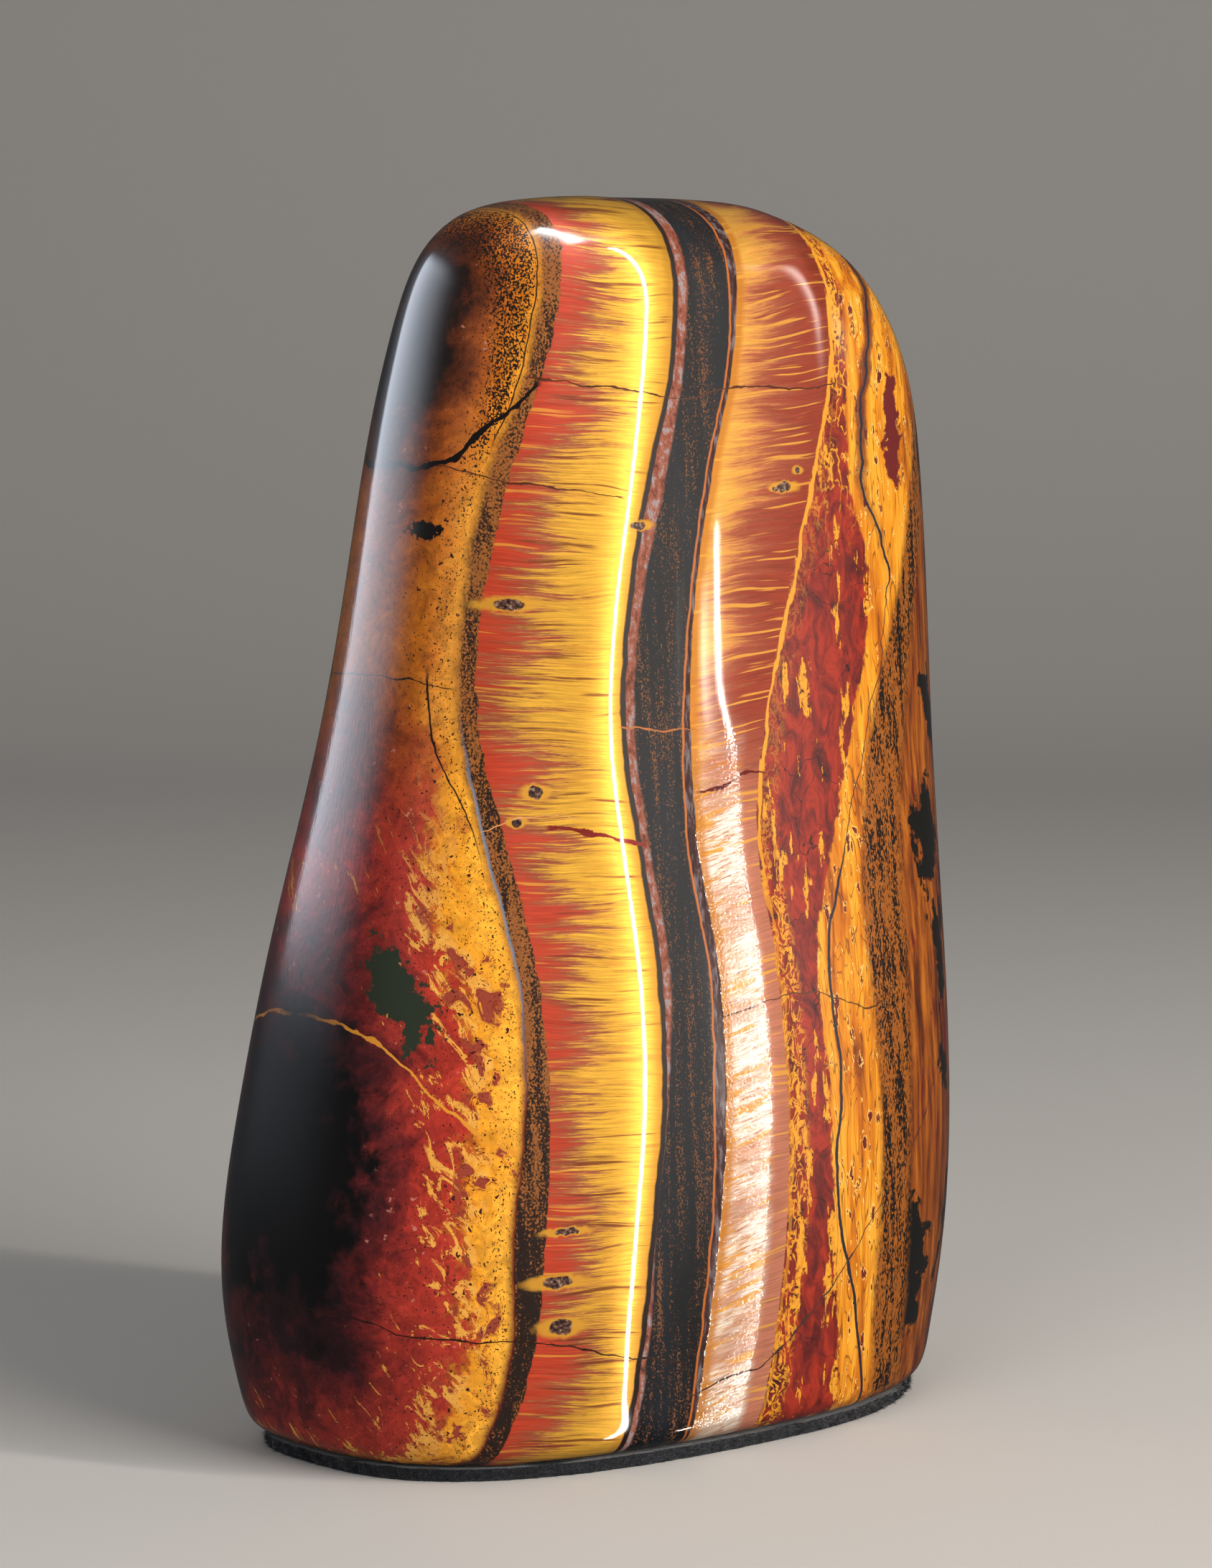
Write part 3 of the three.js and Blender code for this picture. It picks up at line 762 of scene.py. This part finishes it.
def relief_of_bands(mesh):
    """Raises the fibre bands by less than a millimetre, where the harder quartz stood up to the polish."""
    count = len(mesh.vertices)
    places = np.empty(count * 3)
    normals = np.empty(count * 3)
    mesh.vertices.foreach_get("co", places)
    mesh.vertices.foreach_get("normal", normals)
    places = places.reshape(-1, 3) / MM
    normals = normals.reshape(-1, 3)
    x, y, z = places.T
    # Each ridge has its height, and its reach to the left and right, in mm
    gold = 0.5 * ridge(x, smooth_line(GOLD_RIDGE, z), 15, 13)
    copper = 0.42 * ridge(x, smooth_line(COPPER_RIDGE, z), 18, 10) * smooth_step(z, 190, 165)
    upper = smooth_step(z, 165, 190) * smooth_step(z, 270, 235)
    copper += 0.2 * ridge(x, smooth_line(EDGE_RIDGE, z), 8, 22) * upper
    shoulder = 0.35 * ridge(x, smooth_line(SHOULDER_RIDGE, z), 16, 9) * smooth_step(z, 240, 262)
    # They fade out round the back and towards the foot
    front = smooth_step(y, 12, -12) * smooth_step(z, 6, 24)
    places += normals * ((gold + copper + shoulder) * front)[:, None]
    places *= DRAWN_IN
    mesh.vertices.foreach_set("co", (places * MM).ravel())
    mesh.update()


def make_stone():
    """The polished stone: the solid's skin, made of quads, smoothed twice and given its low relief."""
    piece = copy_of_node("stone", "stone_polished")
    join = bpy.ops.mesh.tris_convert_to_quads
    edit_whole_mesh(join, face_threshold=math.radians(60), shape_threshold=math.radians(70))
    apply_modifier(piece, "SUBSURF", "smooth skin", levels=2, render_levels=2)
    relief_of_bands(piece.data)
    bpy.ops.object.shade_smooth()
    piece.data.materials.clear()
    piece.data.materials.append(stone_material())
    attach(piece, "root")
    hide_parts("stone")


def make_felt():
    """The felt pad: its edge slightly ragged from hand cutting, with loose wool fibres standing out of it."""
    piece = copy_of_node("felt_pad", "felt_sheet")
    edit_whole_mesh(bpy.ops.mesh.subdivide, number_cuts=5)
    random = np.random.default_rng(7)
    rim = []
    for vertex in piece.data.vertices:
        out = Vector((vertex.co.x / FELT_REACH[0], vertex.co.y / FELT_REACH[1], 0)).normalized()
        angle = math.atan2(vertex.co.y, vertex.co.x)
        wave = math.sin(17 * angle) * math.sin(41 * angle + 1) + 0.6 * math.sin(97 * angle + vertex.co.z / MM)
        if vertex.normal.xy.length > 0.3:
            vertex.co += out * (0.2 * wave + random.uniform(-0.16, 0.1)) * MM
            rim.append((vertex.co.copy(), out))
    bpy.ops.object.shade_smooth()

    # Loose fibres are thin spikes of four faces, about four times as thick as real wool so that they show
    points = []
    faces = []
    for _ in range(FIBRE_COUNT):
        start, out = rim[random.integers(len(rim))]
        along = Vector((-out.y, out.x, 0))
        start = start + along * random.uniform(-1.5, 1.5) * MM - out * 0.4 * MM
        start.z = random.uniform(0.2, 2.9) * MM
        lean = out * random.uniform(0.5, 1.2) + along * random.uniform(-1.4, 1.4)
        lean.z = random.uniform(-0.7, 0.7)
        tip = start + lean.normalized() * random.uniform(*FIBRE_LENGTHS) * MM
        tip.z = min(max(tip.z, 0.1 * MM), 3.4 * MM)
        first = len(points)
        sideways = lean.cross(Vector((0, 0, 1))).normalized() * FIBRE_HALF_WIDTH * MM
        points += [start + sideways, start - sideways, start + Vector((0, 0, FIBRE_DEPTH * MM)), tip]
        faces += [[first + i for i in face] for face in ((0, 1, 2), (0, 3, 1), (1, 3, 2), (2, 3, 0))]
    fibres = bpy.data.meshes.new("wool_fibres")
    fibres.from_pydata(points, [], faces)
    fuzz = bpy.data.objects.new("wool_fibres", fibres)
    bpy.context.scene.collection.objects.link(fuzz)
    make_active(fuzz)
    edit_whole_mesh(bpy.ops.mesh.normals_make_consistent, inside=False)
    felt = felt_material()
    for part in (piece, fuzz):
        part.data.materials.clear()
        part.data.materials.append(felt)
        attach(part, "root")
    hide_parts("felt_pad")


def make_floor():
    """Plain pale sweep that curves up behind the stone. The polish doesn't mirror it, so darks stay deep."""
    deselect_all()
    bpy.ops.mesh.primitive_grid_add(x_subdivisions=8, y_subdivisions=120, size=FLOOR_SIDE)
    floor = bpy.context.object
    floor.name = "floor"
    for vertex in floor.data.vertices:
        # A strip, wider around the stone than behind it
        vertex.co.x *= 0.26 if vertex.co.y < 0.6 else 0.15
        past_bend = vertex.co.y - FLOOR_BEND
        if past_bend > 0:
            angle = min(past_bend / BEND_RADIUS, math.pi / 2)
            straight = past_bend - BEND_RADIUS * angle
            vertex.co.y = FLOOR_BEND + BEND_RADIUS * math.sin(angle)
            vertex.co.z = BEND_RADIUS * (1 - math.cos(angle)) + straight
    floor.rotation_euler = (0, 0, math.radians(-CAMERA_TURN))
    bpy.ops.object.transform_apply(location=False, rotation=True, scale=False)
    bpy.ops.object.shade_smooth()
    material = bpy.data.materials.new("pale_matt_floor")
    material.use_nodes = True
    shader = material.node_tree.nodes["Principled BSDF"]
    shader.inputs["Base Color"].default_value = linear("#c2c0bd")
    shader.inputs["Roughness"].default_value = 0.8
    shader.inputs["Specular IOR Level"].default_value = 0.2
    floor.data.materials.append(material)
    floor.visible_glossy = False


def studio_place(turn, distance, height):
    """A place that many degrees to the right of the camera's line, and the way from it to the stone."""
    angle = math.radians(180 + CAMERA_TURN - turn)
    where = Vector((math.sin(angle) * distance, math.cos(angle) * distance, height))
    return where, STONE_MIDDLE - where


def place_light(name, turn, distance, height, size, power, colour="#ffffff", mirrored=True):
    """A soft box facing the middle of the stone. The polish shows it only if it is mirrored."""
    where, to_stone = studio_place(turn, distance, height)
    data = bpy.data.lights.new(name, "AREA")
    data.shape = "RECTANGLE"
    data.size, data.size_y = size
    data.energy = power
    data.color = linear(colour)[:3]
    light = bpy.data.objects.new(name, data)
    light.location = where
    light.rotation_euler = to_stone.to_track_quat("-Z", "Y").to_euler()
    light.visible_glossy = mirrored
    bpy.context.scene.collection.objects.link(light)


def glow_card(name, turn, distance, height, size, strength, colour, peak=0.5):
    """A glow seen only in the polish, brightest along one upright line, at peak across its width."""
    where, to_stone = studio_place(turn, distance, height)
    facing = to_stone.to_track_quat("Z", "Y").to_euler()
    deselect_all()
    bpy.ops.mesh.primitive_plane_add(size=1, location=where, rotation=facing)
    card = bpy.context.object
    card.name = name
    card.scale = (size[0], size[1], 1)
    card.visible_camera = False
    card.visible_shadow = False
    card.visible_diffuse = False
    material = bpy.data.materials.new(name)
    material.use_nodes = True
    tree = material.node_tree
    add = functools.partial(add_node, tree)
    place = add("ShaderNodeTexCoord", out="Object")
    across = add("ShaderNodeSeparateXYZ", [place])
    up = add(MATH, [add("ShaderNodeSeparateXYZ", [place], out="Y")], operation="ABSOLUTE")
    left = add(RANGE, [across, -0.5, peak - 0.5], **SOFT)
    right = add(RANGE, [across, peak - 0.5, 0.5, 1.0, 0.0], **SOFT)
    ends = add(RANGE, [up, 0.3, 0.5, 1.0, 0.0], **SOFT)
    fade = add(MATH, [add(MATH, [left, right], **TIMES), 2.6], operation="POWER")
    power = add(MATH, [fade, add(MATH, [ends, strength], **TIMES)], **TIMES)
    # The card only adds light, so that what stands behind it shows through
    clear = add("ShaderNodeBsdfTransparent")
    glow = add("ShaderNodeAddShader", [add("ShaderNodeEmission", [colour, power]), clear])
    tree.links.new(glow, tree.nodes["Material Output"].inputs["Surface"])
    card.data.materials.append(material)


def make_lights():
    """Strips draw the lines in the fibre bands, cards the broad glows, and the fills light the colours.

    The foot of the stone mirrors what lies below the floor, so two strips reach down there.
    """
    place_light("strip_for_gold_band", 64, 1.3, 0.75, (0.045, 1.5), 10, "#fff6ea")
    place_light("low_strip_for_gold_band", 64, 1.6, -0.5, (0.055, 1.25), 10, "#fff6ea")
    place_light("strip_for_copper_band", 82, 1.3, -0.3, (0.014, 1.2), 5.0, "#fff3e6")
    glow_card("window_for_shoulder", 97, 1.3, 0.66, (0.36, 0.6), 8.0, "#fff0e4")
    glow_card("veil_on_copper_band", 79, 1.3, 0.11, (0.26, 0.26), 11.0, "#fff6ee", peak=0.65)
    glow_card("window_left_rear", -88, 1.2, 0.66, (1.84, 1.0), 5.5, "#dfe8f6", peak=0.88)
    glow_card("high_window", 60, 0.45, 1.6, (0.6, 0.8), 34.0, "#ffffff")
    place_light("left_fill", -25, 1.6, 0.8, (1.0, 1.0), 10, mirrored=False)
    place_light("broad_front", 48, 1.7, 0.9, (1.2, 1.2), 36, "#fff9f2", mirrored=False)
    place_light("floor_fill", 0, 0.3, 3.4, (3.0, 3.0), 22, mirrored=False)
    world = bpy.data.worlds.new("studio")
    bpy.context.scene.world = world
    world.use_nodes = True
    background = world.node_tree.nodes["Background"]
    background.inputs["Color"].default_value = linear("#d8dadd")
    background.inputs["Strength"].default_value = 0.06


def make_camera():
    data = bpy.data.cameras.new("camera")
    data.sensor_width = SENSOR
    data.lens = SENSOR * FOCAL_PIXELS / IMAGE_HEIGHT
    camera = bpy.data.objects.new("camera", data)
    camera.location = CAMERA_PLACE
    camera.rotation_euler = (math.radians(90 - CAMERA_DIP), 0, math.radians(-CAMERA_TURN))
    bpy.context.scene.collection.objects.link(camera)
    bpy.context.scene.camera = camera


make_camera()
make_stone()
make_felt()
make_floor()
make_lights()
bpy.context.scene.view_settings.view_transform = "Standard"
